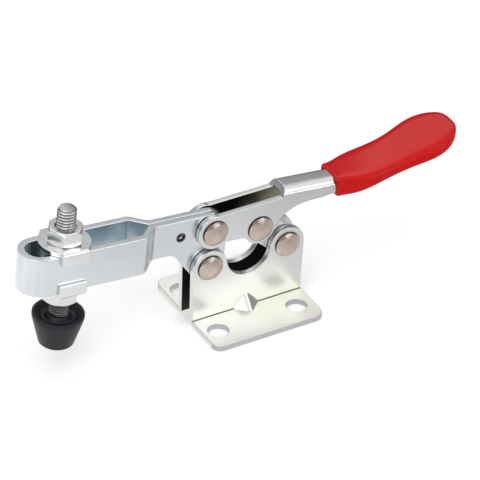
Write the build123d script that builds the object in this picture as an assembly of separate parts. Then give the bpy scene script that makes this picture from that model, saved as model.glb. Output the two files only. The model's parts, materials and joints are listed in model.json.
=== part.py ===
from build123d import *
from math import acos, atan2, cos, degrees, radians, sin, sqrt
import os

# Horizontal-handle toggle clamp, flanged base. All sizes are in millimetres.
#
# Frame: the origin is the centre of the four base holes, on the mounting
# face. +X runs from the pressing spindle to the handle, +Z up from the
# mounting face, and the two halves of the clamp mirror each other in Y.
#
# The linkage is a four-bar: the base carries the arm at the front pivot and
# the link at the rear pivot; the handle joins arm and link. When the arm
# pivot, the link pivot and the rear pivot lie in one line, it locks.

# ---- sheet metal ---------------------------------------------------------
BASE_SHEET = 2.0          # thickness of the two base plates
HANDLE_SHEET = 2.0        # thickness of the pressed handle channel
ARM_SHEET = 2.2           # thickness of the strip that the arm is folded from
LAYER_PLAY = 0.2          # side play between the inner and the outer layers
INNER_HALF = ARM_SHEET                    # arm tongue and link: |y| up to this
OUTER_IN = INNER_HALF + LAYER_PLAY        # inside face of webs and handle walls
OUTER_OUT = OUTER_IN + BASE_SHEET         # outside face of webs and handle walls

# ---- linkage -------------------------------------------------------------
FRONT_PIVOT = (-12.5, 20.0)               # (x, z), arm on base
REAR_PIVOT = (13.9, 20.0)                 # (x, z), link on base
ARM_CRANK = 12.2                          # front pivot to arm pivot
HANDLE_CRANK = 15.75                      # arm pivot to link pivot
LINK_LENGTH = 12.92                       # link pivot to rear pivot
LINK_END_RADIUS = 4.7
REST_OPENING = 5.0                        # degrees that the arm stands open

# ---- base ----------------------------------------------------------------
BASE_FRONT, BASE_REAR = -18.4, 18.6       # ends of the webs along X
FLANGE_REAR = BASE_REAR + 0.5             # the flanges run out a little further
BASE_HALF_WIDTH = 19.4
FLANGE_CORNER = 3.0
EAR_RADIUS = 5.8
NOTCH_RADIUS = 7.4
NOTCH_CENTRE = ((FRONT_PIVOT[0] + REAR_PIVOT[0]) / 2, 21.0)
BEND_OUTSIDE = 1.8                        # the sheet's outside bend radius
HOLE_SPACING_X, HOLE_SPACING_Y = 27.0, 23.5
HOLE_DIAMETER = 6.4
DART_HALF_WIDTH, DART_UP, DART_OUT = 5.0, 4.6, 3.6   # pressed gusset in the bend
DART_RIDGE = 0.8                          # half width of its flat ridge

# ---- rivets --------------------------------------------------------------
SHANK_DIAMETER = 5.0
HEAD_DIAMETER, HEAD_RIM, HEAD_HEIGHT = 8.4, 0.5, 1.6
RUNNING_CLEARANCE = 0.05                  # radial, where a part turns on a rivet

# ---- arm, drawn in its locked place, before it is turned to rest ----------
ARM_TOP, ARM_BOTTOM = 37.45, 24.75        # edges of the long loop
TONGUE_BOTTOM = 25.9                      # lower edge behind the loop
NOSE_TIP = -75.2
LOOP_HALF_OUT = 6.5                       # outside half width of the loop
JOGGLE = (-36.5, -31.8)                   # where the strips come together
ARM_EYE_RADIUS = 5.25                     # round the arm pivot
ARM_HEEL_RADIUS = 5.8                     # round the front pivot
LEG_SLOPE = 52.0                          # degrees, front edge of the leg
LEG_CORNER = 4.0                          # fillet between tongue and leg
JOGGLE_BEND = 3.0                         # bend radius at both ends of the joggle
SEAM_WIDTH, SEAM_DEPTH = 0.24, 0.45       # groove where the two ends meet
CLINCH = (-22.5, 31.7)                    # (x, z) of the pressed joint
CLINCH_DIAMETER, CLINCH_DEPTH = 2.8, 0.6
CLINCH_CORE_DIAMETER = 1.1

# ---- spindle set, also in its locked place --------------------------------
SPINDLE_X = -60.7
ROD_DIAMETER = 5.9                        # over the crests of the M6 thread
ROD_CHAMFER = 0.6
SPINDLE_TOP, SPINDLE_FOOT = 50.0, 7.0
NUT_FLATS, NUT_HEIGHT = 10.0, 5.0
NUT_CHAMFER = 0.8                         # height of the chamfer at a corner
NUT_MOUTH = 0.35                          # countersink at both ends of its bore
BOLT_HEAD_HEIGHT = 4.0
WASHER_SHEET = 1.3
WASHER_RADIUS = 7.95
WASHER_TAB_HALF = 4.4                     # half length of a folded tab along X
WASHER_TAB_HANG = 2.9                     # how far a tab reaches over the arm
WASHER_PLAY = 0.05                        # so that the set slides on the arm
WASHER_BORE = 6.4
TIP_TOP, TIP_BOTTOM = 13.5, 2.8
TIP_RIM_RADIUS, TIP_FOOT_RADIUS = 7.9, 5.4
TIP_RIM_HEIGHT, TIP_WALL = 1.4, 0.9       # the upright lip round the dished top
TIP_COVER = 0.9                           # rubber over the bolt head
TIP_DISH_RADIUS = 5.0                     # where the dish meets its floor
TIP_COLLAR_FOOT, TIP_COLLAR_TOP = 4.2, 3.5   # radii of the collar round the rod
TIP_COLLAR_HEIGHT = 1.5

# ---- handle, drawn in its rest place --------------------------------------
HANDLE_EAR_ARM, HANDLE_EAR_LINK = 5.6, 5.3
HANDLE_CORNER = 5.3                       # front upper corner, round the arm pivot
CROWN_RISE, NECK_RISE = 2.6, 0.3          # channel over the walls, at slot and neck
SLOT_END = 13.4                           # rear end of the slot in the top
SLOT_SLANT = 1.5                          # the channel's front edge leans back
CHANNEL_BEND = 3.0                        # outside radius of the channel edges
GRIP_MOUTH, GRIP_TIP = 30.3, 73.4
CHANNEL_END = GRIP_MOUTH + 3.5            # the channel is flattened from here on
VINYL = 0.9
# Lines of the grip, as (distance behind its mouth, height over the channel's neck)
GRIP_TOP_LINE = [(0, 0.9), (8, 0.8), (14, 1.1), (20, 1.9), (32, 4.8), (46.6, 8.3)]
GRIP_UNDER_LINE = [(0, -5.7), (6, -5.6), (13, -3.7), (20, -2.2), (32, 0.5), (46.6, 3.9)]
GRIP_SIDE_LINE = [(0, 5.2), (4, 6.0), (8.5, 7.5), (18, 8.0), (26, 8.7), (32, 9.7)]
GRIP_END_LINE = [(5.2, 8.3), (1.5, 4.6)]  # (distance from the tip, half width)
GRIP_EDGE = 1.8                           # how round its long edges are


def on_circle(centre, radius, angle):
    """The point of a circle at an angle in degrees, as (x, z)."""
    return (centre[0] + radius * cos(radians(angle)),
            centre[1] + radius * sin(radians(angle)))


def crossing(first, first_radius, second, second_radius):
    """The upper crossing of two circles, as (x, z)."""
    dx, dz = second[0] - first[0], second[1] - first[1]
    span = sqrt(dx * dx + dz * dz)
    along = (first_radius ** 2 - second_radius ** 2 + span ** 2) / (2 * span)
    aside = sqrt(first_radius ** 2 - along ** 2)
    return (first[0] + (along * dx - aside * dz) / span,
            first[1] + (along * dz + aside * dx) / span)


def locked_crank_angle():
    """Angle of the arm crank when handle and link lie in one line."""
    base = REAR_PIVOT[0] - FRONT_PIVOT[0]
    reach = HANDLE_CRANK + LINK_LENGTH
    return degrees(acos((ARM_CRANK ** 2 + base ** 2 - reach ** 2)
                        / (2 * ARM_CRANK * base)))


ARM_PIVOT_LOCKED = on_circle(FRONT_PIVOT, ARM_CRANK, locked_crank_angle())
ARM_PIVOT = on_circle(FRONT_PIVOT, ARM_CRANK, locked_crank_angle() - REST_OPENING)
LINK_PIVOT = crossing(ARM_PIVOT, HANDLE_CRANK, REAR_PIVOT, LINK_LENGTH)
WALL_TOP = ARM_PIVOT[1] + HANDLE_CORNER   # top edge of the walls beside the slot
CROWN_FRONT, CROWN_NECK = WALL_TOP + CROWN_RISE, WALL_TOP + NECK_RISE


def plate(outline, low, high):
    """A side-view outline in (x, z), made solid from y = low to y = high."""
    return extrude(Pos(0, high, 0) * (Plane.XZ * outline), amount=high - low)


def disc(centre, radius):
    return Pos(centre[0], centre[1]) * Circle(radius)


def polygon(*points):
    return make_face(Polyline(*points, close=True))


def bore(centre, diameter, half_length=20.0):
    """A cylinder along Y, used to drill a hole at a pivot."""
    return plate(disc(centre, diameter / 2), -half_length, half_length)


def to_rest(solid):
    """Turns what is drawn in the locked place about the front pivot."""
    x, z = FRONT_PIVOT
    return Pos(x, 0, z) * Rot(0, REST_OPENING, 0) * Pos(-x, 0, -z) * solid


# ---- base ----------------------------------------------------------------

def web_outline():
    """Upright wall: two round ears with a round notch between them."""
    foot = polygon((BASE_FRONT, 0), (BASE_REAR, 0),
                   (REAR_PIVOT[0] + EAR_RADIUS, REAR_PIVOT[1]),
                   (FRONT_PIVOT[0] - EAR_RADIUS, FRONT_PIVOT[1]))
    ears = disc(FRONT_PIVOT, EAR_RADIUS) + disc(REAR_PIVOT, EAR_RADIUS)
    return foot + ears - disc(NOTCH_CENTRE, NOTCH_RADIUS)


def dart(shift=0.0):
    """The gusset pressed into the bend: a flat ridge between two slopes."""
    y, z = -OUTER_OUT + shift, BASE_SHEET - shift
    back, low = y + 0.3, z - 0.3
    left, right = (-DART_HALF_WIDTH, back, low), (DART_HALF_WIDTH, back, low)
    up = [(x, back, z + DART_UP) for x in (-DART_RIDGE, DART_RIDGE)]
    out = [(x, y - DART_OUT, low) for x in (-DART_RIDGE, DART_RIDGE)]
    sides = [(left, right, up[1], up[0]), (left, out[0], out[1], right),
             (left, up[0], out[0]), (up[0], up[1], out[1], out[0]), (right, out[1], up[1])]
    return Solid(Shell([Face(Wire.make_polygon(side, close=True)) for side in sides]))


def base_plate():
    """The near half of the base: web, flange, gusset and two holes."""
    web = plate(web_outline(), -OUTER_OUT, -OUTER_IN)
    length = FLANGE_REAR - BASE_FRONT
    width = BASE_HALF_WIDTH - OUTER_IN
    middle = (BASE_FRONT + FLANGE_REAR) / 2
    flange = Pos(middle, -OUTER_IN - width / 2, BASE_SHEET / 2) * Box(length, width, BASE_SHEET)
    corners = flange.edges().filter_by(Axis.Z).group_by(Axis.Y)[0]
    solid = web + fillet(corners, FLANGE_CORNER)
    heel = solid.edges().filter_by(Axis.X).filter_by_position(
        Axis.Z, -0.01, 0.01).sort_by(Axis.Y)[-1]
    solid = fillet(heel, BEND_OUTSIDE)
    solid = solid + dart() - dart(shift=BASE_SHEET)
    for side in (-1, 1):
        hole = Pos(side * HOLE_SPACING_X / 2, -HOLE_SPACING_Y / 2, 0)
        solid -= hole * Cylinder(HOLE_DIAMETER / 2, 4 * BASE_SHEET)
    for pivot in (FRONT_PIVOT, REAR_PIVOT):
        solid -= bore(pivot, SHANK_DIAMETER)
    return solid


# ---- rivets --------------------------------------------------------------

def rivet_head():
    """A low domed head that stands on the outside face, along +Z."""
    radius = HEAD_DIAMETER / 2
    dome = HEAD_HEIGHT - HEAD_RIM
    sphere = (radius ** 2 + dome ** 2) / (2 * dome)
    crest = (0, HEAD_HEIGHT)
    rim = (radius, HEAD_RIM)
    middle = on_circle((0, HEAD_HEIGHT - sphere), sphere,
                       90 - degrees(acos(1 - dome / sphere)) / 2)
    outline = make_face(Polyline(crest, (0, 0), (radius, 0), rim)
                        + ThreePointArc(rim, middle, crest))
    return revolve(Plane.XZ * outline, Axis.Z)


def rivet(pivot, through=True):
    """A rivet with a formed head on each side, through both outer plates."""
    near = Pos(pivot[0], -OUTER_OUT, pivot[1]) * Rot(90, 0, 0) * rivet_head()
    far = mirror(near, Plane.XZ)
    inner = 0 if through else OUTER_IN
    near_shank = plate(disc(pivot, SHANK_DIAMETER / 2), -OUTER_OUT, -inner)
    near_half = near + near_shank
    far_half = far + mirror(near_shank, Plane.XZ)
    if through:
        return near_half + far_half
    return Compound([near_half, far_half])


# ---- arm -----------------------------------------------------------------

def arm_side():
    """Side view of the arm: loop, tongue, and the leg down to its pivot."""
    down = radians(LEG_SLOPE)
    heel = (FRONT_PIVOT[0] - ARM_HEEL_RADIUS * sin(down),
            FRONT_PIVOT[1] - ARM_HEEL_RADIUS * cos(down))
    knee = heel[0] - (TONGUE_BOTTOM - heel[1]) / (sin(down) / cos(down))
    outline = polygon(
        (NOSE_TIP, ARM_TOP), (NOSE_TIP, ARM_BOTTOM),
        (JOGGLE[0] + 2.2, ARM_BOTTOM), (JOGGLE[1] - 0.6, TONGUE_BOTTOM),
        (knee, TONGUE_BOTTOM), heel, FRONT_PIVOT,
        (FRONT_PIVOT[0] + ARM_HEEL_RADIUS, FRONT_PIVOT[1]),
        (ARM_PIVOT_LOCKED[0] + ARM_EYE_RADIUS, ARM_PIVOT_LOCKED[1]),
        ARM_PIVOT_LOCKED, (ARM_PIVOT_LOCKED[0], ARM_TOP))
    corner = outline.vertices().sort_by_distance(Vertex(knee, TONGUE_BOTTOM, 0))[0]
    outline = fillet(corner, LEG_CORNER)
    return outline + disc(FRONT_PIVOT, ARM_HEEL_RADIUS) + disc(ARM_PIVOT_LOCKED, ARM_EYE_RADIUS)


def strip_outer():
    """Plan view of the folded strip's outside: round nose, loop, joggle, tongue."""
    rear = FRONT_PIVOT[0] + 2 * ARM_HEEL_RADIUS
    nose_centre = NOSE_TIP + LOOP_HALF_OUT
    side = [(nose_centre, LOOP_HALF_OUT), (JOGGLE[0], LOOP_HALF_OUT),
            (JOGGLE[1], INNER_HALF), (rear, INNER_HALF)]
    outline = polygon(*side, *[(x, -y) for x, y in reversed(side)])
    bends = [v for v in outline.vertices() if JOGGLE[0] - 1 < v.X < JOGGLE[1] + 1]
    return fillet(bends, JOGGLE_BEND) + disc((nose_centre, 0), LOOP_HALF_OUT)


def strip_window():
    """Plan view of the long opening inside the loop, pointed at the joggle."""
    half = LOOP_HALF_OUT - ARM_SHEET
    nose_centre = NOSE_TIP + LOOP_HALF_OUT
    start = JOGGLE[0] - 0.8
    point = start + (JOGGLE[1] - JOGGLE[0]) * half / (LOOP_HALF_OUT - INNER_HALF)
    outline = polygon((nose_centre, half), (start, half), (point, 0),
                      (start, -half), (nose_centre, -half))
    corners = [v for v in outline.vertices() if abs(v.X - start) < 0.01]
    return fillet(corners, JOGGLE_BEND - 1.0) + disc((nose_centre, 0), half)


def seam():
    """The shallow groove round the tongue where the strip's two ends meet."""
    half = SEAM_WIDTH / 2
    groove = plate(arm_side(), -half, half) - plate(offset(arm_side(), -SEAM_DEPTH), -half, half)
    return groove & Pos(0, 0, ARM_BOTTOM) * Box(-2 * JOGGLE[1], 1, 4 * ARM_TOP)


def arm():
    """One strip folded round the nose; its ends lie flat on each other."""
    blank = extrude(strip_outer() - strip_window(), amount=2 * ARM_TOP)
    solid = blank & plate(arm_side(), -LOOP_HALF_OUT - 1, LOOP_HALF_OUT + 1)
    solid -= seam()
    for side in (-1, 1):
        ring = disc(CLINCH, CLINCH_DIAMETER / 2) - disc(CLINCH, CLINCH_CORE_DIAMETER / 2)
        pocket = plate(ring, -CLINCH_DEPTH, CLINCH_DEPTH)
        solid -= Pos(0, side * INNER_HALF, 0) * pocket
    for pivot in (FRONT_PIVOT, ARM_PIVOT_LOCKED):
        solid -= bore(pivot, SHANK_DIAMETER + 2 * RUNNING_CLEARANCE)
    return to_rest(solid)


# ---- link ----------------------------------------------------------------

def link_plate():
    """The near one of the two link plates."""
    dx, dz = LINK_PIVOT[0] - REAR_PIVOT[0], LINK_PIVOT[1] - REAR_PIVOT[1]
    length = sqrt(dx * dx + dz * dz)
    side = (-dz / length * LINK_END_RADIUS, dx / length * LINK_END_RADIUS)
    body = polygon((REAR_PIVOT[0] + side[0], REAR_PIVOT[1] + side[1]),
                   (LINK_PIVOT[0] + side[0], LINK_PIVOT[1] + side[1]),
                   (LINK_PIVOT[0] - side[0], LINK_PIVOT[1] - side[1]),
                   (REAR_PIVOT[0] - side[0], REAR_PIVOT[1] - side[1]))
    outline = body + disc(REAR_PIVOT, LINK_END_RADIUS) + disc(LINK_PIVOT, LINK_END_RADIUS)
    solid = plate(outline, -INNER_HALF, 0)
    for pivot in (REAR_PIVOT, LINK_PIVOT):
        solid -= bore(pivot, SHANK_DIAMETER + 2 * RUNNING_CLEARANCE)
    return solid


# ---- spindle set ---------------------------------------------------------

def hexagon(flats):
    return RegularPolygon(flats / 2, 6, major_radius=False)


def spool(end_radius, middle_radius, end_height):
    """A turned form as high as a nut, with a cone at each end."""
    top = NUT_HEIGHT
    outline = polygon((0, 0), (end_radius, 0), (middle_radius, end_height),
                      (middle_radius, top - end_height), (end_radius, top), (0, top))
    return revolve(Plane.XZ * outline, Axis.Z)


def nut(low):
    """A hexagon nut with both faces chamfered, corners along X."""
    corner = NUT_FLATS / sqrt(3)
    bore_radius = ROD_DIAMETER / 2 + RUNNING_CLEARANCE
    body = extrude(hexagon(NUT_FLATS), amount=NUT_HEIGHT)
    body &= spool(NUT_FLATS / 2 - 0.2, corner, NUT_CHAMFER)
    body -= spool(bore_radius + NUT_MOUTH, bore_radius, NUT_MOUTH)
    return to_rest(Pos(SPINDLE_X, 0, low) * body)


def nut_upper():
    return nut(ARM_TOP + WASHER_PLAY + WASHER_SHEET)


def nut_lower():
    return nut(ARM_BOTTOM - WASHER_PLAY - WASHER_SHEET - NUT_HEIGHT)


def flanged_washer():
    """A round washer whose two sides are folded down over the arm."""
    inner = LOOP_HALF_OUT + 2 * WASHER_PLAY
    outer = inner + WASHER_SHEET
    blank = Circle(WASHER_RADIUS) & Rectangle(2 * WASHER_RADIUS, 2 * outer)
    blank += Rectangle(2 * WASHER_TAB_HALF, 2 * outer)
    solid = extrude(blank, amount=WASHER_SHEET)
    for side in (-1, 1):
        tab = Box(2 * WASHER_TAB_HALF, WASHER_SHEET, WASHER_TAB_HANG + WASHER_SHEET)
        solid += Pos(0, side * (inner + outer) / 2,
                     (WASHER_SHEET - WASHER_TAB_HANG) / 2) * tab
    folds = solid.edges().filter_by(Axis.X).group_by(Axis.Z)[-1]
    solid = fillet(folds, WASHER_SHEET * 0.7)
    return solid - Cylinder(WASHER_BORE / 2, 4 * WASHER_SHEET)


def washer_upper():
    return to_rest(Pos(SPINDLE_X, 0, ARM_TOP + WASHER_PLAY) * flanged_washer())


def washer_lower():
    return to_rest(Pos(SPINDLE_X, 0, ARM_BOTTOM - WASHER_PLAY) * Rot(180, 0, 0) * flanged_washer())


def bolt_head():
    return Pos(0, 0, SPINDLE_FOOT) * extrude(hexagon(NUT_FLATS), amount=BOLT_HEAD_HEIGHT)


def rod():
    height = SPINDLE_TOP - SPINDLE_FOOT
    solid = Pos(0, 0, SPINDLE_FOOT + height / 2) * Cylinder(ROD_DIAMETER / 2, height)
    return chamfer(solid.edges().group_by(Axis.Z)[-1], ROD_CHAMFER)


def spindle():
    """Hexagon bolt, head down in the rubber, rod up through the arm."""
    return to_rest(Pos(SPINDLE_X, 0, 0) * (rod() + bolt_head()))


def tip():
    """Rubber cap moulded round the bolt head, with a dished top."""
    dish_floor = SPINDLE_FOOT + BOLT_HEAD_HEIGHT + TIP_COVER
    collar_top = dish_floor + TIP_COLLAR_HEIGHT
    outline = polygon((0, TIP_BOTTOM), (TIP_FOOT_RADIUS - 0.5, TIP_BOTTOM),
                      (TIP_FOOT_RADIUS, TIP_BOTTOM + 0.5),
                      (TIP_RIM_RADIUS, TIP_TOP - TIP_RIM_HEIGHT), (TIP_RIM_RADIUS, TIP_TOP),
                      (TIP_RIM_RADIUS - TIP_WALL, TIP_TOP), (TIP_DISH_RADIUS, dish_floor),
                      (TIP_COLLAR_FOOT, dish_floor), (TIP_COLLAR_TOP, collar_top),
                      (0, collar_top))
    cap = revolve(Plane.XZ * outline, Axis.Z)
    return to_rest(Pos(SPINDLE_X, 0, 0) * (cap - bolt_head() - rod()))


# ---- handle and grip ------------------------------------------------------

def grip_line(points, lift):
    """A line of the grip's side view in (x, z), moved up by lift."""
    return [(GRIP_MOUTH + along, CROWN_NECK + rise + lift) for along, rise in points]


def spline_band(top, under):
    """A closed side view between a smooth top line and a smooth under line."""
    return make_face(Spline(*top) + Line(top[-1], under[-1])
                     + Spline(*reversed(under)) + Line(under[0], top[0]))


def paddle_plan(shrink):
    """Plan view of the grip: a neck, a waist and a broad round end."""
    near = [(GRIP_MOUTH + along, half - shrink) for along, half in GRIP_SIDE_LINE]
    for share, (back, half) in zip((1.0, 0.5), GRIP_END_LINE):
        near.append((GRIP_TIP - back - shrink * 0.7, half - shrink * share))
    rim = near + [(GRIP_TIP - shrink, 0.0)] + [(x, -half) for x, half in reversed(near)]
    return make_face(Spline(*rim, tangents=((1, 0.1), (-1, 0.1))) + Line(rim[-1], rim[0]))


def paddle(shrink, edge):
    """The flattened end of the handle, bare or with the vinyl round it."""
    side_view = spline_band(grip_line(GRIP_TOP_LINE, -shrink),
                            grip_line(GRIP_UNDER_LINE, shrink))
    body = plate(side_view, -15, 15) & extrude(paddle_plan(shrink), amount=60)
    mouth, *skins = body.faces().sort_by(Axis.X)
    skins.sort(key=lambda face: face.center().Z)
    rims = [e for face in (skins[0], skins[-1])
            for e in face.edges() if e not in mouth.edges()]
    return fillet(rims, edge) if edge else body


def wall_outline():
    """Side view of the handle walls and channel, from the ears to the grip."""
    ax, az = ARM_PIVOT
    lx, lz = LINK_PIVOT
    start = on_circle(LINK_PIVOT, HANDLE_EAR_LINK, -15)
    neck_bottom = grip_line(GRIP_UNDER_LINE, VINYL)[0][1]
    under = (CHANNEL_END, neck_bottom)
    crown_front = (SLOT_END, CROWN_FRONT)
    crown_rear = (CHANNEL_END, CROWN_NECK)
    belly = Spline(start, (lx + 9.2, lz + 2.9), (lx + 15.6, neck_bottom + 0.5),
                   (lx + 20.6, neck_bottom + 0.3), under, tangents=((0.3, 1), (1, -0.12)))
    waist_arm = on_circle(ARM_PIVOT, HANDLE_EAR_ARM, -52)
    waist_link = on_circle(LINK_PIVOT, HANDLE_EAR_LINK, 200)
    rest = Polyline(under, crown_rear, crown_front, (SLOT_END - SLOT_SLANT, WALL_TOP),
                    (ax, WALL_TOP), ARM_PIVOT, waist_arm, waist_link, LINK_PIVOT, start)
    body = make_face(belly + rest)
    corner_radius = WALL_TOP - az
    return (body + disc(ARM_PIVOT, HANDLE_EAR_ARM) + disc(LINK_PIVOT, HANDLE_EAR_LINK)
            + (disc(ARM_PIVOT, corner_radius) & polygon((ax - 9, az + 1), (ax, az + 1),
                                                         (ax, az + 9), (ax - 9, az + 9))))


def channel_hollow(length):
    """The inside of the pressed channel, open at the bottom."""
    rise = (CROWN_FRONT - CROWN_NECK) / (CHANNEL_END - SLOT_END)
    front = -30.0
    roof = [(x, CROWN_NECK - HANDLE_SHEET + rise * (CHANNEL_END - x)) for x in (front, length)]
    side = polygon((front, 0), (length, 0), roof[1], roof[0])
    return plate(side, -OUTER_IN, OUTER_IN)


def handle():
    """One pressing: two eared walls, a slotted top, and a flattened end."""
    block = plate(wall_outline(), -OUTER_OUT, OUTER_OUT)
    crown_edges = [e for e in block.edges()
                   if abs(abs(e.center().Y) - OUTER_OUT) < 0.01 and e.center().Z > WALL_TOP
                   and e.bounding_box().size.X > 5]
    block = fillet(crown_edges, CHANNEL_BEND)
    flat = paddle(VINYL, edge=0) & Pos(CHANNEL_END + 50 - 0.5, 0, 40) * Box(100, 40, 40)
    block = block + flat - channel_hollow(CHANNEL_END + 4.0)
    slot = polygon((SLOT_END - 50, LINK_PIVOT[1]), (SLOT_END - SLOT_SLANT, LINK_PIVOT[1]),
                   (SLOT_END - SLOT_SLANT, WALL_TOP), (SLOT_END, CROWN_FRONT),
                   (SLOT_END, CROWN_FRONT + 9), (SLOT_END - 50, CROWN_FRONT + 9))
    block -= plate(slot, -OUTER_IN, OUTER_IN)
    for pivot in (ARM_PIVOT, LINK_PIVOT):
        block -= bore(pivot, SHANK_DIAMETER)
    return block


def grip(metal):
    """The red dipped vinyl over the flattened end."""
    return paddle(0.0, edge=GRIP_EDGE) - metal


# ---- the whole clamp ------------------------------------------------------

def parts():
    near = base_plate()
    metal = handle()
    near_link = link_plate()
    return {
        "base_near": near,
        "base_far": mirror(near, Plane.XZ),
        "rivet_front": rivet(FRONT_PIVOT),
        "rivet_rear": rivet(REAR_PIVOT),
        "arm": arm(),
        "handle": metal,
        "grip": grip(metal),
        "rivet_arm": rivet(ARM_PIVOT),
        "rivet_link": rivet(LINK_PIVOT, through=False),
        "link_near": near_link,
        "link_far": mirror(near_link, Plane.XZ),
        "washer_upper": washer_upper(),
        "washer_lower": washer_lower(),
        "nut_upper": nut_upper(),
        "nut_lower": nut_lower(),
        "spindle": spindle(),
        "tip": tip(),
    }


os.makedirs("parts", exist_ok=True)
for name, solid in parts().items():
    solid.label = name
    export_step(solid, f"parts/{name}.step")
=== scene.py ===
# %% [markdown]
# # A toggle clamp: zinc-plated steel, a rubber tip and a dipped red grip
# The clamp stands on its base plates with its arm a few degrees open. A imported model
# gives the pieces' shapes and places, in metres. The pressed pieces, washers and nuts
# start from its meshes, so they can't drift from it. The spindle, the rubber tip, the
# rivet heads and the grip are drawn anew, because they need a thread, arcs or a soft skin.

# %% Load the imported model
import json
import math

import bmesh
import bpy
from mathutils import Matrix, Vector

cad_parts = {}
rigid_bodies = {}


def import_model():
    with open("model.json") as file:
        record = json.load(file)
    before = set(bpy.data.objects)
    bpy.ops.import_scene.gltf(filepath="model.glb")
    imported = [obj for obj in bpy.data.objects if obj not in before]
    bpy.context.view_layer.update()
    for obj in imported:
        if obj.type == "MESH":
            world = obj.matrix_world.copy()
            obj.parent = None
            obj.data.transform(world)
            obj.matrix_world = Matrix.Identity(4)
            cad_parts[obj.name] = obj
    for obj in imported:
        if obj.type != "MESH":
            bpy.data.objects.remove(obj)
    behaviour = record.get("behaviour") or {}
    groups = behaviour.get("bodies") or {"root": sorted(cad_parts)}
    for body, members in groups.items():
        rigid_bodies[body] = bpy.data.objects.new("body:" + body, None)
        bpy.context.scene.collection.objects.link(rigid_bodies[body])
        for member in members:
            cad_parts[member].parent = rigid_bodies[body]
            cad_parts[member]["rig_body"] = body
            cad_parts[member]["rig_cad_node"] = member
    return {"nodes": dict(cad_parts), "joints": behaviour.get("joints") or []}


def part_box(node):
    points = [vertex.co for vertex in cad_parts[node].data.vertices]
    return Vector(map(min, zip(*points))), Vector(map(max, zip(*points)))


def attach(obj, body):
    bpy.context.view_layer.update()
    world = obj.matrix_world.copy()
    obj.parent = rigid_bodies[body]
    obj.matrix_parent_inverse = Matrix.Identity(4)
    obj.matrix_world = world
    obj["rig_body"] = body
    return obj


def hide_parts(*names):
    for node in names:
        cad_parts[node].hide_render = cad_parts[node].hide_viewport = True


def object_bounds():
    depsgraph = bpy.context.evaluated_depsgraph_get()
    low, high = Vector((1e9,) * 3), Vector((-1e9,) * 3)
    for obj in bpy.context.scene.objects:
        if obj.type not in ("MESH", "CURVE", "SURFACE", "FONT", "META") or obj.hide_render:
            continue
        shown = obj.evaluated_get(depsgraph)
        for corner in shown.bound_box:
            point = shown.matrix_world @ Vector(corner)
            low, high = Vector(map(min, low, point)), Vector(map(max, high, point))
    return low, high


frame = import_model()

MM = 0.001
CAD_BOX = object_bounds()
joints = {joint["name"]: joint for joint in frame["joints"]}
print("nodes:", len(frame["nodes"]))

# %% [markdown]
# ## The places that everything else is worked out from
# Each of the four pivots is the centre of a packed rivet, and the spindle's axis comes
# from its joint. The spindle leans with the arm, and drawing a leaning thread directly is
# hard. So a shape is drawn upright along +Z first, and a matrix then sets it in place.

# %% Pivots and the spindle's own frame
def middle(node):
    """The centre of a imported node's box."""
    low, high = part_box(node)
    return (low + high) / 2


def standing(axis, foot):
    """The matrix that stands an upright shape along an axis, on its foot."""
    turn = Vector((0, 0, 1)).rotation_difference(Vector(axis))
    return Matrix.Translation(foot) @ turn.to_matrix().to_4x4()


SPINDLE_AXIS = Vector(joints["spindle_height"]["axis"]).normalized()
FRONT_PIVOT = middle("rivet_front")
REAR_PIVOT = middle("rivet_rear")
ARM_PIVOT = middle("rivet_arm")
LINK_PIVOT = middle("rivet_link")
print("pivots in mm:", [tuple(round(v / MM, 2) for v in p)
                        for p in (FRONT_PIVOT, REAR_PIVOT, ARM_PIVOT, LINK_PIVOT)])

# %% [markdown]
# ## Small helpers for shader and geometry nodes
# Trees could be wired by hand in the editor, but code can be read and used again. It is
# easier to read when a sum is one line: `add` makes a node, sets its plain values and
# links what is a socket. `calc`, `noise` and `bump` do the same for the nodes used most.

# %% Node helpers
def fill(tree, node, inputs):
    """Links or sets the inputs of a node, by name or index."""
    for key, value in inputs.items():
        if isinstance(value, bpy.types.NodeSocket):
            tree.links.new(value, node.inputs[key])
        else:
            node.inputs[key].default_value = value


def add(tree, kind, inputs=None, **settings):
    """Makes a node, sets its properties and fills its inputs."""
    node = tree.nodes.new(kind)
    for name, value in settings.items():
        setattr(node, name, value)
    fill(tree, node, inputs or {})
    return node


def calc(tree, operation, *values, clamp=False):
    """One sum, as the output socket of a Math node."""
    inputs = dict(enumerate(values))
    return add(tree, "ShaderNodeMath", inputs, operation=operation, use_clamp=clamp).outputs[0]


def place_of(tree):
    """The Object coordinates."""
    return add(tree, "ShaderNodeTexCoord").outputs["Object"]


def noise(tree, scale, detail, place=None):
    """A noise over the Object coordinates, or over the place that is given."""
    over = place_of(tree) if place is None else place
    inputs = {"Vector": over, "Scale": scale, "Detail": detail}
    return add(tree, "ShaderNodeTexNoise", inputs).outputs["Fac"]


def bump(tree, height, strength, distance, under=None):
    """The normal of a bump; it can lie on another one."""
    inputs = {"Height": height, "Strength": strength, "Distance": distance}
    if under is not None:
        inputs["Normal"] = under
    return add(tree, "ShaderNodeBump", inputs).outputs["Normal"]


def ramp(tree, value, stops):
    """A colour ramp with the given (place, colour) stops."""
    node = add(tree, "ShaderNodeValToRGB", {"Fac": value})
    elements = node.color_ramp.elements
    while len(elements) < len(stops):
        elements.new(0.5)
    for element, (place, colour) in zip(elements, stops):
        element.position = place
        element.color = (*colour, 1)
    return node.outputs["Color"]


def blend_colour(tree, factor, first, second):
    """Two colours mixed by a factor."""
    colours = [value if isinstance(value, bpy.types.NodeSocket) else (*value, 1)
               for value in (first, second)]
    inputs = {"Factor": factor, 6: colours[0], 7: colours[1]}
    return add(tree, "ShaderNodeMix", inputs, data_type="RGBA").outputs[2]


def new_material(name):
    """A material with a Principled shader; returns it, its tree and the shader."""
    material = bpy.data.materials.new(name)
    material.use_nodes = True
    shader = material.node_tree.nodes["Principled BSDF"]
    return material, material.node_tree, shader


print("helpers ready")

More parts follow.
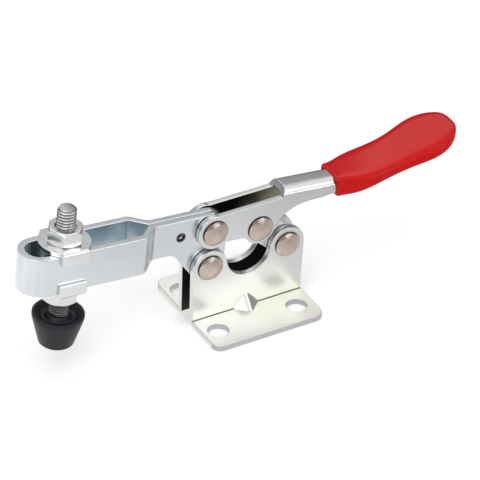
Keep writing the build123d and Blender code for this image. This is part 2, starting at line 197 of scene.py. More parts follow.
# %% [markdown]
# ## Bright zinc plate
# Plated pressings are nearly white metal. Up close they show fine rolling marks along
# the sheet, a soft cloudiness in the gloss, and a faint coloured film, because the clear
# chromate over the zinc is thinner than a wavelength of light. One noise gives the
# cloud, one the rolling marks, and a third moves the film's tint from place to place.
# A painted texture could do this, but it would need an unwrapped mesh, and noise on the
# Object coordinates doesn't.

# %% The zinc finish
ZINC = (0.80, 0.81, 0.82)
ZINC_STRAW = (0.80, 0.80, 0.70)
ZINC_BLUE = (0.70, 0.78, 0.82)
MARKS_ALONG, MARKS_ACROSS = 60.0, 2600.0  # how finely the rolling marks repeat


def zinc_material(name, along=(1, 0, 0), straw=0.25, blue=0.25, rough=0.20, metal=ZINC):
    """Zinc plate with rolling marks along one axis and a faint film of colour."""
    material, tree, shader = new_material(name)
    cloud = noise(tree, 90.0, 4.0)
    film = noise(tree, 38.0, 2.0)
    stretch = [MARKS_ALONG if axis else MARKS_ACROSS for axis in along]
    rolled = add(tree, "ShaderNodeMapping", {"Vector": place_of(tree), "Scale": stretch})
    marks = noise(tree, 1.0, 3.0, rolled.outputs[0])
    tinted = blend_colour(tree, calc(tree, "MULTIPLY", film, straw), metal, ZINC_STRAW)
    tinted = blend_colour(tree, calc(tree, "MULTIPLY", cloud, blue), tinted, ZINC_BLUE)
    uneven = calc(tree, "MULTIPLY_ADD", cloud, 0.12, rough - 0.06)
    uneven = calc(tree, "MULTIPLY_ADD", marks, 0.06, uneven)
    grain = bump(tree, marks, 0.08, 0.02 * MM)
    swell = bump(tree, cloud, 0.12, 0.06 * MM, grain)
    fill(tree, shader, {"Base Color": tinted, "Roughness": uneven, "Normal": swell,
                        "Metallic": 1.0})
    return material


zinc_plain = zinc_material("bright_zinc")
print("made", zinc_plain.name)

# %% [markdown]
# ## Film, hollows and cut edges
# Inner faces get painted shade, dark and dull, because little light gets in there, and inside the
# arm's loop the painted shade is blue-grey. Sheared edges are greyer than the sheet, and a thread
# gets painted shade in its grooves. Each could be a material of its own, with a hard border. Here
# such a place is marked on the mesh with a number from 0 to 1, and the shader reads it back and lays
# the second look over the first.

# %% Helpers that lay one finish over another
def fading(tree, value, near, far):
    """1 up to near, fading to 0 at far; near may be the larger one."""
    inputs = {"Value": value, "From Min": near, "From Max": far, "To Min": 1.0, "To Max": 0.0}
    fade = add(tree, "ShaderNodeMapRange", inputs, interpolation_type="SMOOTHSTEP")
    return fade.outputs["Result"]


def along_axis(tree, axis):
    """One of the three Object coordinates."""
    return add(tree, "ShaderNodeSeparateXYZ", {"Vector": place_of(tree)}).outputs[axis]


def patches(tree, scale, low, high):
    """Soft patches that run from low to high."""
    inputs = {"Value": noise(tree, scale, 3.0), "From Min": 0.3, "From Max": 0.7,
              "To Min": low, "To Max": high}
    return add(tree, "ShaderNodeMapRange", inputs).outputs["Result"]


def overlay(material, amount, colour, rough=None):
    """Puts a colour, and maybe a roughness, over a finish by an amount from 0 to 1."""
    tree = material.node_tree
    shader = tree.nodes["Principled BSDF"]
    plain = shader.inputs["Base Color"].links[0].from_socket
    tree.links.new(blend_colour(tree, amount, plain, colour), shader.inputs["Base Color"])
    if rough is not None:
        before = shader.inputs["Roughness"].links[0].from_socket
        change = calc(tree, "MULTIPLY", amount, calc(tree, "SUBTRACT", rough, before))
        tree.links.new(calc(tree, "ADD", before, change), shader.inputs["Roughness"])


def mark_on(tree, mark):
    """The number from 0 to 1 that the mesh carries under a name."""
    return add(tree, "ShaderNodeAttribute", attribute_name=mark).outputs["Fac"]


def marked(material, mark, colour, rough, low=0.85):
    """Overlays a colour in soft patches wherever the mesh carries the mark."""
    tree = material.node_tree
    amount = calc(tree, "MULTIPLY", mark_on(tree, mark), patches(tree, 160.0, low, 1.0), clamp=True)
    overlay(material, amount, colour, rough)


print("overlays ready")

# %% [markdown]
# ## The base plates' finish
# Near its sharp bend the base's film looks straw and faintly cyan, with a thin line of painted shade
# in the inner corner. A colour ramp along Z would tint it in even bands, so the two tints come in
# soft patches that fade out up the web. The painted shade line is wherever the distance from the
# corner, across and up, is small. Low in the gap between the webs, the inner faces get painted
# shade.

# %% Zinc on the base plates
FILM_STRAW = (0.92, 0.90, 0.72)
FILM_CYAN = (0.74, 0.84, 0.85)
FILM_FULL, FILM_GONE = 2.5 * MM, 12 * MM  # heights over the mounting face
BEND_LINE = (4.4 * MM, 2.0 * MM)  # (distance from the middle plane, height)
LINE_FULL, LINE_GONE = 0.10 * MM, 0.40 * MM  # distances from the bend's corner
# painted shade: the colour of a thin dark line along the bend's inner corner
BEND_SHADE = (0.20, 0.18, 0.11)
# painted shade low down in the gap between the webs
GAP_SHADE_FULL, GAP_SHADE_GONE = 18 * MM, 23 * MM  # heights, in the gap between the webs
GAP_SHADE = (0.035, 0.038, 0.036)
SHEARED = (0.55, 0.56, 0.56)
SHEARED_ROUGH = 0.34

zinc_base = zinc_material("bright_zinc_base", straw=0.15, blue=0.10, rough=0.29,
                          metal=(0.86, 0.86, 0.85))
base_tree = zinc_base.node_tree
near_bend = fading(base_tree, along_axis(base_tree, "Z"), FILM_FULL, FILM_GONE)
overlay(zinc_base, calc(base_tree, "MULTIPLY", near_bend, patches(base_tree, 70.0, 0.0, 0.55)),
        FILM_STRAW)
overlay(zinc_base, calc(base_tree, "MULTIPLY", near_bend, patches(base_tree, 95.0, -0.35, 0.30),
                        clamp=True), FILM_CYAN)
across = calc(base_tree, "ABSOLUTE", along_axis(base_tree, "Y"))
across = calc(base_tree, "SUBTRACT", across, BEND_LINE[0])
up = calc(base_tree, "SUBTRACT", along_axis(base_tree, "Z"), BEND_LINE[1])
squared = calc(base_tree, "MULTIPLY_ADD", up, up, calc(base_tree, "MULTIPLY", across, across))
from_bend = calc(base_tree, "SQRT", squared)
# a thin line of painted shade along the bend's inner corner
overlay(zinc_base, fading(base_tree, from_bend, LINE_FULL, LINE_GONE), BEND_SHADE)
marked(zinc_base, "sheared", SHEARED, SHEARED_ROUGH)
# painted shade on the faces between the webs, fading out upwards
shaded_low_down = fading(base_tree, along_axis(base_tree, "Z"), GAP_SHADE_FULL, GAP_SHADE_GONE)
overlay(zinc_base, calc(base_tree, "MULTIPLY", shaded_low_down, mark_on(base_tree, "shaded_hollow")),
        GAP_SHADE, 0.50)
print("made", zinc_base.name)

# %% [markdown]
# ## The finishes of the arm, the handle and the fasteners
# They are the same zinc with other marks: painted blue-grey shade inside the arm's loop, painted
# shade in the ring of its clinch, painted shade on the top of the handle's channel, and in the
# thread painted shade in the grooves and a painted dark reflection of the rubber low on the rod. One
# material could hold all the marks, but each of these pieces has a slight tint of its own. The
# painted shade in the handle's channel gets darker towards the front, where the link and the arm
# close it off. On the fasteners the fine marks run upwards, as on drawn bar.

# %% Zinc on the arm, the handle and the fasteners
CHANNEL_SHADE_FULL, CHANNEL_SHADE_GONE = 1 * MM, 11 * MM  # along X, inside the handle's channel

zinc_arm = zinc_material("bright_zinc_arm", straw=0.05, blue=0.3, metal=(0.77, 0.78, 0.81))
# painted blue-grey shade on the faces inside the loop
marked(zinc_arm, "shaded_hollow", (0.42, 0.53, 0.57), 0.24, low=0.6)
# painted shade in the ring pressed into the tongue
marked(zinc_arm, "clinch_shade", (0.10, 0.10, 0.11), 0.40)

zinc_handle = zinc_material("bright_zinc_handle")
handle_tree = zinc_handle.node_tree
marked(zinc_handle, "sheared", SHEARED, SHEARED_ROUGH)
# painted shade on the top of the channel
marked(zinc_handle, "crown_shade", (0.46, 0.46, 0.46), 0.36)
# painted shade on the channel's inner walls and ceiling
marked(zinc_handle, "shaded_hollow", (0.30, 0.28, 0.20), 0.40)
# more painted shade inside the channel towards its front
deep_shade = fading(handle_tree, along_axis(handle_tree, "X"), CHANNEL_SHADE_FULL, CHANNEL_SHADE_GONE)
overlay(zinc_handle, calc(handle_tree, "MULTIPLY", deep_shade, mark_on(handle_tree, "shaded_hollow")),
        (0.030, 0.030, 0.026))

zinc_bolt = zinc_material("bright_zinc_fastener", along=(0, 0, 1), straw=0.15,
                          metal=(0.83, 0.83, 0.82))
# painted shade in the thread's grooves and a painted dark reflection of the rubber low on the rod
marked(zinc_bolt, "groove", (0.10, 0.10, 0.10), 0.5)
print("made", zinc_arm.name, zinc_handle.name, zinc_bolt.name)

# %% [markdown]
# ## Nickel rivets, red vinyl and black rubber
# The rivet heads are a warm pinkish metal, formed by a spinning tool, so they carry
# faint rings. Rings from Object coordinates would share one centre, so they read a
# distance that is stored on each head's mesh. Dipped vinyl is a thick glossy skin with a
# slow waviness, and moulded rubber is nearly black, with a satin skin and a fine grain.

# %% Rivet, vinyl and rubber finishes
RING_TURNS = 34000.0  # radians of ring pattern per metre
FOOT_DARK, FOOT_CLEAR = 4.12 * MM, 3.95 * MM  # distances from a head's centre
# the colour of the dark ring at the foot of each head
FOOT_RING_COLOUR = (0.05, 0.045, 0.04)


def rivet_material():
    """Warm nickel with the rings that the riveting tool leaves, dark at the foot."""
    material, tree, shader = new_material("warm_nickel_rivet")
    reach = mark_on(tree, "from_centre")
    rings = calc(tree, "SINE", calc(tree, "MULTIPLY", reach, RING_TURNS))
    stain = noise(tree, 300.0, 3.0)
    colour = ramp(tree, stain, [(0.30, (0.60, 0.48, 0.42)), (0.55, (0.68, 0.56, 0.50)),
                                (0.80, (0.74, 0.64, 0.58))])
    colour = blend_colour(tree, fading(tree, reach, FOOT_DARK, FOOT_CLEAR), colour, FOOT_RING_COLOUR)
    fill(tree, shader, {"Base Color": colour, "Metallic": 1.0,
                        "Roughness": calc(tree, "MULTIPLY_ADD", stain, 0.12, 0.20),
                        "Normal": bump(tree, rings, 0.12, 0.01 * MM)})
    return material


def vinyl_material():
    """Thick glossy red vinyl, slightly uneven from the dipping."""
    material, tree, shader = new_material("dipped_red_vinyl")
    slow = noise(tree, 110.0, 2.0)
    colour = ramp(tree, slow, [(0.3, (0.54, 0.002, 0.002)), (0.7, (0.64, 0.003, 0.003))])
    wave = bump(tree, slow, 0.30, 0.2 * MM)
    skin = bump(tree, noise(tree, 1500.0, 2.0), 0.05, 0.03 * MM, wave)
    fill(tree, shader, {"Base Color": colour, "Normal": skin, "IOR": 1.45,
                        "Specular IOR Level": 0.25,
                        "Roughness": calc(tree, "MULTIPLY_ADD", slow, 0.06, 0.12)})
    return material


def rubber_material():
    """Moulded black rubber with a satin skin."""
    material, tree, shader = new_material("black_rubber")
    bloom = noise(tree, 260.0, 4.0)
    colour = ramp(tree, bloom, [(0.35, (0.006, 0.007, 0.010)), (0.7, (0.013, 0.015, 0.021))])
    grain = bump(tree, noise(tree, 4200.0, 2.0), 0.15, 0.03 * MM)
    fill(tree, shader, {"Base Color": colour, "Normal": grain, "Specular IOR Level": 0.34,
                        "Roughness": calc(tree, "MULTIPLY_ADD", bloom, 0.25, 0.30)})
    return material


nickel_rivet = rivet_material()
red_vinyl = vinyl_material()
black_rubber = rubber_material()
print("made", nickel_rivet.name, red_vinyl.name, black_rubber.name)

# %% [markdown]
# ## Edges that a press tool leaves
# A stamped plate is never knife-sharp: its outer edges are rolled over by about a
# quarter of a millimetre and catch the light, while the inside of a bend stays crisp.
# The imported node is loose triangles, so a copy is merged, its flat triangles are
# dissolved into whole faces, and each edge that stands out gets a bevel weight of 1.
# A Bevel modifier follows the weights. Its own angle limit would be shorter to write, but
# it would round the inner corners too.

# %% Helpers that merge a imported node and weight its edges
SHARP = math.radians(30)
FLAT_WITHIN = math.radians(0.8)


def mesh_of(shape, name):
    """The finished bmesh shape as a new mesh."""
    mesh = bpy.data.meshes.new(name)
    shape.to_mesh(mesh)
    shape.free()
    return mesh


def merged_copy(node, merge, inner_allowed):
    """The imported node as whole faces, with its outer sharp edges weighted.

    An edge stays sharp if it ends where more than inner_allowed inner edges meet, because
    a bevel would tear there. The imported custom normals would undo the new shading.
    """
    shape = bmesh.new()
    shape.from_mesh(frame["nodes"][node].data)
    bmesh.ops.remove_doubles(shape, verts=shape.verts, dist=merge)
    bmesh.ops.dissolve_degenerate(shape, dist=merge, edges=shape.edges)
    bmesh.ops.dissolve_limit(shape, angle_limit=FLAT_WITHIN, verts=shape.verts, edges=shape.edges)
    shape.normal_update()
    weight = shape.edges.layers.float.new("bevel_weight_edge")
    sharp = [edge for edge in shape.edges if edge.calc_face_angle(0) > SHARP]
    inner = [vert for edge in sharp if not edge.is_convex for vert in edge.verts]
    crowded = {vert for vert in inner if inner.count(vert) > inner_allowed}
    for edge in sharp:
        edge[weight] = float(edge.is_convex and not crowded.intersection(edge.verts))
    mesh = mesh_of(shape, node)
    if "custom_normal" in mesh.attributes:
        mesh.attributes.remove(mesh.attributes["custom_normal"])
    return mesh


print("edges sharper than", round(math.degrees(SHARP)), "degrees are rolled")

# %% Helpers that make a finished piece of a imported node
CREASE_OUTER = math.radians(60)
FINE_MERGE = 0.002 * MM  # joins only points that are the same


def in_scene(name, data):
    """A new object at the origin of the scene."""
    item = bpy.data.objects.new(name, data)
    bpy.context.scene.collection.objects.link(item)
    return item


def new_piece(name, mesh, material):
    """A mesh object with one material."""
    mesh.materials.clear()
    mesh.materials.append(material)
    return in_scene(name, mesh)


def plain_mesh(piece):
    """Gives a piece the mesh that its modifiers make, and removes them."""
    graph = bpy.context.evaluated_depsgraph_get()
    mesh = bpy.data.meshes.new_from_object(piece.evaluated_get(graph))
    piece.modifiers.clear()
    piece.data = mesh


def shade_smooth(mesh):
    """Sets every face to smooth shading."""
    mesh.polygons.foreach_set("use_smooth", [True] * len(mesh.polygons))


def crease_inner_corners(mesh):
    """Keeps the shading crisp along inner corners and along edges left unrolled."""
    shape = bmesh.new()
    shape.from_mesh(mesh)
    shape.normal_update()
    for edge in shape.edges:
        edge.smooth = edge.calc_face_angle(0) < (CREASE_OUTER if edge.is_convex else SHARP)
    shape.to_mesh(mesh)
    shape.free()


def mark_faces(mesh, mark, rule):
    """Stores 1 on each face for which rule(centre, normal) holds, else 0."""
    mesh.attributes.new(mark, "FLOAT", "FACE")
    values = [float(rule(face.center, face.normal)) for face in mesh.polygons]
    mesh.attributes[mark].data.foreach_set("value", values)
    return sum(values)


def eased(name, node, material, width, marks, merge=FINE_MERGE, inner_allowed=1):
    """A piece with the node's shape, rolled outer edges and marked faces."""
    piece = new_piece(name, merged_copy(node, merge, inner_allowed), material)
    edge = piece.modifiers.new("rolled edge", "BEVEL")
    edge.width = width
    edge.segments = 2
    edge.limit_method = "WEIGHT"
    edge.use_clamp_overlap = False
    plain_mesh(piece)
    shade_smooth(piece.data)
    crease_inner_corners(piece.data)
    flat = piece.modifiers.new("flat faces stay flat", "WEIGHTED_NORMAL")
    flat.weight = 90
    flat.keep_sharp = True
    plain_mesh(piece)
    found = {mark: int(mark_faces(piece.data, mark, rule)) for mark, rule in marks.items()}
    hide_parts(node)
    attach(piece, frame["nodes"][node]["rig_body"])
    print(name, "has", len(piece.data.polygons), "faces, marked:", found)


print("an unrolled outer edge is crisp over", round(math.degrees(CREASE_OUTER)), "degrees")

# %% [markdown]
# ## Which faces get which mark
# The marks could be painted by hand, but a rule holds when a size changes. Each rule
# looks at a face's centre and at the way that it faces. The webs and the handle's walls
# lie in the same layer on each side, so the base and the handle share two of the rules.

# %% Rules for the marks
WALL_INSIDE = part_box("base_far")[0].y
SHEET = 2.0 * MM  # base plates and handle
SKIN = 0.05 * MM  # how far off a wall still counts as on it
LOOP_REAR = -33 * MM  # the arm's loop lies in front of this X
LOOP_MIDDLE = 1.5 * MM  # within this Y, the inside of the nose faces back
CLINCH = Vector((-21.44, 0, 32.53)) * MM
CLINCH_RADIUS = 1.55 * MM
CLINCH_FACE = 2.17 * MM  # just under the tongue's outer face
FLANGE_FROM = 6 * MM  # the flanges lie further out than this Y
CROWN_FROM = 13.5 * MM  # the handle's closed top starts at this X


def between_walls(centre, normal):
    """True on faces that look into the gap between the two walls, and on its ceiling."""
    reach = abs(centre.y)
    if reach > WALL_INSIDE - SKIN:
        return reach < WALL_INSIDE + SKIN and normal.y * centre.y < -0.7 * reach
    return normal.z < -0.3


def in_the_loop(centre, normal):
    """True on the arm's faces that look into its long loop."""
    inward = normal.y * centre.y < 0 or abs(centre.y) < LOOP_MIDDLE and normal.x > 0.5
    return centre.x < LOOP_REAR and inward and abs(normal.z) < 0.3


def in_the_clinch(centre, normal):
    """True in the small ring that is pressed into the arm's tongue."""
    reach = math.hypot(centre.x - CLINCH.x, centre.z - CLINCH.z)
    return reach < CLINCH_RADIUS and abs(centre.y) < CLINCH_FACE


def cut_edge(centre, normal):
    """True on the sheared edges of the webs, of the flanges and of the handle's walls."""
    reach = abs(centre.y)
    if centre.z < SHEET:
        return reach > FLANGE_FROM and abs(normal.z) < 0.5
    return abs(normal.y) < 0.3 and WALL_INSIDE < reach < WALL_INSIDE + SHEET


def on_the_crown(centre, normal):
    """True on the top of the handle's channel, behind the slot."""
    return centre.x > CROWN_FROM and normal.z > 0.93


print("inside of the walls at", round(WALL_INSIDE / MM, 2), "mm from the middle plane")

# %% [markdown]
# ## The pressed pieces, washers and nuts
# Base plates, links, arm, handle, washers and nuts all go through the same helper, the
# smaller ones with a finer roll. A base plate has a step of 0.01 mm at the end of its bend,
# and a washer has short edges at its tabs. The bevel would cross itself at either, so
# those two kinds are merged over a longer distance, and on a washer no edge that ends at
# an inner corner is rolled.

# %% The pressed pieces
HEAVY_ROLL, LINK_ROLL, WASHER_ROLL, NUT_ROLL = 0.22 * MM, 0.18 * MM, 0.15 * MM, 0.10 * MM
BASE_MERGE = 0.03 * MM
WASHER_MERGE = 0.06 * MM

for side in ("near", "far"):
    eased("base_plate_" + side, "base_" + side, zinc_base, HEAVY_ROLL,
          {"shaded_hollow": between_walls, "sheared": cut_edge}, merge=BASE_MERGE)
    eased("link_plate_" + side, "link_" + side, zinc_plain, LINK_ROLL, {})
eased("holding_arm", "arm", zinc_arm, HEAVY_ROLL, {"shaded_hollow": in_the_loop, "clinch_shade": in_the_clinch})
eased("handle_pressing", "handle", zinc_handle, HEAVY_ROLL,
      {"shaded_hollow": between_walls, "sheared": cut_edge, "crown_shade": on_the_crown})
for level in ("upper", "lower"):
    eased("flanged_washer_" + level, "washer_" + level, zinc_bolt, WASHER_ROLL, {},
          merge=WASHER_MERGE, inner_allowed=0)
    eased("hexagon_nut_" + level, "nut_" + level, zinc_bolt, NUT_ROLL, {})

# %% [markdown]
# ## The threaded spindle
# A screw thread follows one rule: go round once and climb one pitch. It could be a
# profile swept along a helix, but its ends are then hard to close. So the rod is a flat
# grid that Geometry Nodes wraps into a tube, with the radius of each point worked out
# from its angle and its height. A second limit on the radius cuts the cone at the top,
# and the first and last rows close the ends. The pitch is 1 mm, as on an M6 screw.

# %% Helpers for a grid that is wrapped into a tube
def inputs_of(tree, **sizes):
    """Adds named number inputs to a tree; returns their group-input sockets."""
    for name, value in sizes.items():
        kind = "NodeSocketInt" if isinstance(value, int) else "NodeSocketFloat"
        socket = tree.interface.new_socket(name=name, in_out="INPUT", socket_type=kind)
        socket.default_value = value
    return add(tree, "NodeGroupInput").outputs


def finish_tree(tree, geometry, material):
    """Ends a tree in Realize Instances and Set Material."""
    tree.interface.new_socket(name="Geometry", in_out="OUTPUT", socket_type="NodeSocketGeometry")
    solid = add(tree, "GeometryNodeRealizeInstances", {"Geometry": geometry})
    dressed = add(tree, "GeometryNodeSetMaterial",
                  {"Geometry": solid.outputs[0], "Material": material})
    add(tree, "NodeGroupOutput", {"Geometry": dressed.outputs[0]})


def wrapped_grid(tree, around, rows):
    """A unit grid, its turn (0 to 1) and its height (0 to 1) at each point."""
    columns = calc(tree, "ADD", around, 1)
    lines = calc(tree, "ADD", rows, 1)
    grid = add(tree, "GeometryNodeMeshGrid",
               {"Size X": 1.0, "Size Y": 1.0, "Vertices X": columns, "Vertices Y": lines})
    parts = add(tree, "ShaderNodeSeparateXYZ",
                {"Vector": add(tree, "GeometryNodeInputPosition").outputs[0]})
    turn = calc(tree, "ADD", parts.outputs["X"], 0.5)
    height = calc(tree, "ADD", parts.outputs["Y"], 0.5)
    return grid.outputs["Mesh"], turn, height


def tube_from_grid(tree, grid, turn, radius, height):
    """Sets the grid's points round the Z axis and closes the tube."""
    angle = calc(tree, "MULTIPLY", turn, math.tau)
    across = calc(tree, "MULTIPLY", calc(tree, "COSINE", angle), radius)
    deep = calc(tree, "MULTIPLY", calc(tree, "SINE", angle), radius)
    place = add(tree, "ShaderNodeCombineXYZ", {"X": across, "Y": deep, "Z": height})
    tube = add(tree, "GeometryNodeSetPosition", {"Geometry": grid, "Position": place.outputs[0]})
    return add(tree, "GeometryNodeMergeByDistance",
               {"Geometry": tube.outputs[0], "Distance": FINE_MERGE}).outputs[0]


print("grid helpers ready")

# %% Geometry Nodes tree of the threaded rod
FLANK_SLOPE, CREST = 2.6, 0.16  # a larger second number widens the crest
# up to this height the rod gets a painted dark reflection of the rubber tip
RUBBER_REFLECTION_TOP, RUBBER_REFLECTION_FADE = 10.0 * MM, 3.0 * MM  # heights over the rod's foot
RUBBER_REFLECTION_DARK = 0.9


def thread_tree():
    """A rod along +Z with a helical thread, from height 0 to its length."""
    tree = bpy.data.node_groups.new("threaded rod", "GeometryNodeTree")
    size = inputs_of(tree, Length=0.04, Radius=0.003, Pitch=0.001, Depth=0.0006,
                     Chamfer=0.0006, Grease=RUBBER_REFLECTION_TOP, Around=48, Rows=360)
    grid, turn, share = wrapped_grid(tree, size["Around"], size["Rows"])
    step = calc(tree, "DIVIDE", size["Length"], calc(tree, "SUBTRACT", size["Rows"], 2))
    full = calc(tree, "MULTIPLY_ADD", step, 2.0, size["Length"])
    climb = calc(tree, "SUBTRACT", calc(tree, "MULTIPLY", share, full), step)
    height = calc(tree, "MINIMUM", calc(tree, "MAXIMUM", climb, 0.0), size["Length"])
    pitches = calc(tree, "DIVIDE", height, size["Pitch"])
    phase = calc(tree, "FRACT", calc(tree, "SUBTRACT", pitches, turn))
    flank = calc(tree, "ABSOLUTE", calc(tree, "SUBTRACT", phase, 0.5))
    cut = calc(tree, "MULTIPLY_ADD", flank, FLANK_SLOPE, -CREST, clamp=True)
    threaded = calc(tree, "SUBTRACT", size["Radius"], calc(tree, "MULTIPLY", cut, size["Depth"]))
    left = calc(tree, "SUBTRACT", size["Length"], height)
    cone = calc(tree, "ADD", left, calc(tree, "SUBTRACT", size["Radius"], size["Chamfer"]))
    radius = calc(tree, "MINIMUM", threaded, cone)
    half_step = calc(tree, "MULTIPLY", step, 0.5)
    above = calc(tree, "GREATER_THAN", calc(tree, "ADD", climb, half_step), 0.0)
    below = calc(tree, "LESS_THAN", calc(tree, "SUBTRACT", climb, half_step), size["Length"])
    radius = calc(tree, "MULTIPLY", radius, calc(tree, "MULTIPLY", above, below))
    # painted dark reflection of the rubber low on the rod, and painted shade in the grooves
    rubber_reflection = fading(tree, height, size["Grease"], calc(tree, "ADD", size["Grease"], RUBBER_REFLECTION_FADE))
    dark = calc(tree, "MAXIMUM", cut, calc(tree, "MULTIPLY", rubber_reflection, RUBBER_REFLECTION_DARK))
    noted = add(tree, "GeometryNodeStoreNamedAttribute",
                {"Geometry": grid, "Name": "groove", "Value": dark}, domain="POINT")
    finish_tree(tree, tube_from_grid(tree, noted.outputs[0], turn, radius, height), zinc_bolt)
    return tree


def grown(name, tree, **sizes):
    """Runs a tree on an empty mesh with the given sizes; returns the plain mesh."""
    seed = in_scene(name, bpy.data.meshes.new(name))
    maker = seed.modifiers.new("maker", "NODES")
    maker.node_group = tree
    names = {item.name: item.identifier for item in tree.interface.items_tree}
    for size, value in sizes.items():
        maker[names[size]] = value
    plain_mesh(seed)
    mesh = seed.data
    bpy.data.objects.remove(seed)
    return mesh


rod_tree = thread_tree()
print("thread tree has", len(rod_tree.nodes), "nodes")

# %% [markdown]
# ## The rod on its bolt head
# The spindle is a hexagon bolt, head down in the rubber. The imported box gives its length:
# the top of a leaning rod is highest at its rim, and the head is lowest at a corner, so
# both are taken off before the lean is divided out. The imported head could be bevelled,
# but a six-sided block stands upright like the rod and takes the same matrix.

# %% Grow the rod and set it on its bolt head
HEAD_FLATS = 10.0 * MM
HEAD_HEIGHT = 4.0 * MM
HEAD_EDGE = 0.3 * MM
ROD_RADIUS = 2.95 * MM
ROD_CHAMFER = 0.6 * MM
THREAD_PITCH = 1.0 * MM
THREAD_DEPTH = 0.60 * MM
ROWS_PER_TURN = 9
CREASE_THREAD = math.radians(32)


def hexagon_block(flats, height, edge):
    """An upright hexagonal block with corners along X and eased edges."""
    shape = bmesh.new()
    corner = flats / math.sqrt(3)
    turn = Matrix.Rotation(math.radians(30), 4, "Z")
    bmesh.ops.create_cone(shape, cap_ends=True, segments=6, radius1=corner, radius2=corner,
                          depth=height, matrix=Matrix.Translation((0, 0, height / 2)) @ turn)
    bmesh.ops.bevel(shape, geom=shape.edges[:], offset=edge, segments=2, affect="EDGES")
    return mesh_of(shape, "bolt head")


def joined(meshes, name):
    """Several meshes in one."""
    shape = bmesh.new()
    for mesh in meshes:
        shape.from_mesh(mesh)
    return mesh_of(shape, name)


low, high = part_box("spindle")
lean = SPINDLE_AXIS.angle(Vector((0, 0, 1)))
top_radius = ROD_RADIUS - ROD_CHAMFER
SPINDLE_TOP = Vector((0, 0, high.z - top_radius * math.sin(lean)))
head_reach = HEAD_FLATS / math.sqrt(3)
SPINDLE_LENGTH = (SPINDLE_TOP.z - low.z - head_reach * math.sin(lean)) / math.cos(lean)
foot_x = low.x + head_reach * math.cos(lean)
SPINDLE_FOOT = Vector((foot_x, 0, SPINDLE_TOP.z - SPINDLE_LENGTH * math.cos(lean)))
SPINDLE_FRAME = standing(SPINDLE_AXIS, SPINDLE_FOOT)
print("spindle length in mm:", round(SPINDLE_LENGTH / MM, 2), "foot:", SPINDLE_FOOT / MM)

rod_mesh = grown("rod", rod_tree, Length=SPINDLE_LENGTH, Radius=ROD_RADIUS, Pitch=THREAD_PITCH,
                 Depth=THREAD_DEPTH, Chamfer=ROD_CHAMFER, Around=56,
                 Rows=int(SPINDLE_LENGTH / THREAD_PITCH * ROWS_PER_TURN))
head_mesh = hexagon_block(HEAD_FLATS, HEAD_HEIGHT, HEAD_EDGE)
spindle_mesh = joined([rod_mesh, head_mesh], "spindle")
spindle_mesh.transform(SPINDLE_FRAME)
threaded_spindle = new_piece("threaded_spindle", spindle_mesh, zinc_bolt)
shade_smooth(spindle_mesh)
spindle_mesh.set_sharp_from_angle(angle=CREASE_THREAD)
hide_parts("spindle")
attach(threaded_spindle, "spindle")
print("threaded spindle:", len(spindle_mesh.polygons), "faces")

# %% [markdown]
# ## Turned pieces: rivet heads and the rubber tip
# Anything round is a half outline spun about its axis. A Screw modifier could spin it,
# but a few lines of code also close it at the axis. The outline is a short list of real
# sizes in mm, from the top of the axis down to the bottom. Near each corner the helper
# puts in a small arc, so that the piece has the soft edges of the real one.

# %% Helpers that turn an outline
MOST_OF_A_SIDE = 0.45  # that one corner's arc may take


def rounded(points, radius, steps=4):
    """The outline with a small arc in place of each corner between its ends."""
    smooth = [points[0]]
    for before, corner, after in zip(points, points[1:], points[2:]):
        back = Vector(before) - Vector(corner)
        ahead = Vector(after) - Vector(corner)
        reach = min(radius, back.length * MOST_OF_A_SIDE, ahead.length * MOST_OF_A_SIDE)
        start = Vector(corner) + back.normalized() * reach
        end = Vector(corner) + ahead.normalized() * reach
        for step in range(steps + 1):
            share = step / steps
            line = start.lerp(Vector(corner), share)
            smooth.append(tuple(line.lerp(Vector(corner).lerp(end, share), share)))
    return smooth + [points[-1]]


def turned(outline, around=64):
    """Spins a half outline of (radius, height) about +Z into a closed mesh."""
    shape = bmesh.new()
    rings = []
    for radius, height in outline:
        ring = []
        for step in range(around):
            angle = math.tau * step / around
            across = radius * math.cos(angle)
            deep = radius * math.sin(angle)
            ring.append(shape.verts.new((across, deep, height)))
        rings.append(ring)
    for upper, lower in zip(rings, rings[1:]):
        for step in range(around):
            after = (step + 1) % around
            shape.faces.new((upper[step], upper[after], lower[after], lower[step]))
    bmesh.ops.remove_doubles(shape, verts=shape.verts, dist=FINE_MERGE)
    bmesh.ops.recalc_face_normals(shape, faces=shape.faces)
    mesh = mesh_of(shape, "turned")
    shade_smooth(mesh)
    return mesh


print("points for two corners:", len(rounded([(0, 1), (1, 1), (1, 0), (0, 0)], 0.1)))

# %% [markdown]
# ## The rubber tip
# A moulded cap that is pushed over the bolt head. It widens upwards to a rim round a
# shallow dish, and a collar in the dish hugs the rod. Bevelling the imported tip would
# leave the flats of its round sides, so it is turned from an outline.

# %% The rubber tip
# (radius, height) in mm
TIP_OUTLINE = [(0, 10.6), (3.4, 10.6), (4.2, 9.1), (5.0, 9.1), (7.0, 10.7), (7.9, 10.7),
               (7.9, 9.3), (5.4, 0.5), (4.9, 0.0), (0, 0)]
TIP_EDGE = 0.5  # radius of the corners, in mm
TIP_BELOW_HEAD = 4.2 * MM
tip_mesh = turned([(r * MM, z * MM) for r, z in rounded(TIP_OUTLINE, TIP_EDGE)], around=96)
tip_foot = SPINDLE_FOOT - SPINDLE_AXIS * TIP_BELOW_HEAD
tip_mesh.transform(standing(SPINDLE_AXIS, tip_foot))
rubber_tip = new_piece("rubber_tip", tip_mesh, black_rubber)
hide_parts("tip")
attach(rubber_tip, "spindle")
print("rubber tip:", len(tip_mesh.polygons), "faces")

# %% [markdown]
# ## Eight rivet heads from one
# All four rivets have the same domed head on both sides. Eight objects would do, but one
# change would then be eight. So one outline is turned, and a Geometry Nodes tree places
# a copy wherever a small carrier mesh has a point, facing outwards. The two rivets of
# the base are one mesh, and those of the handle are two, as one has a shorter shank.

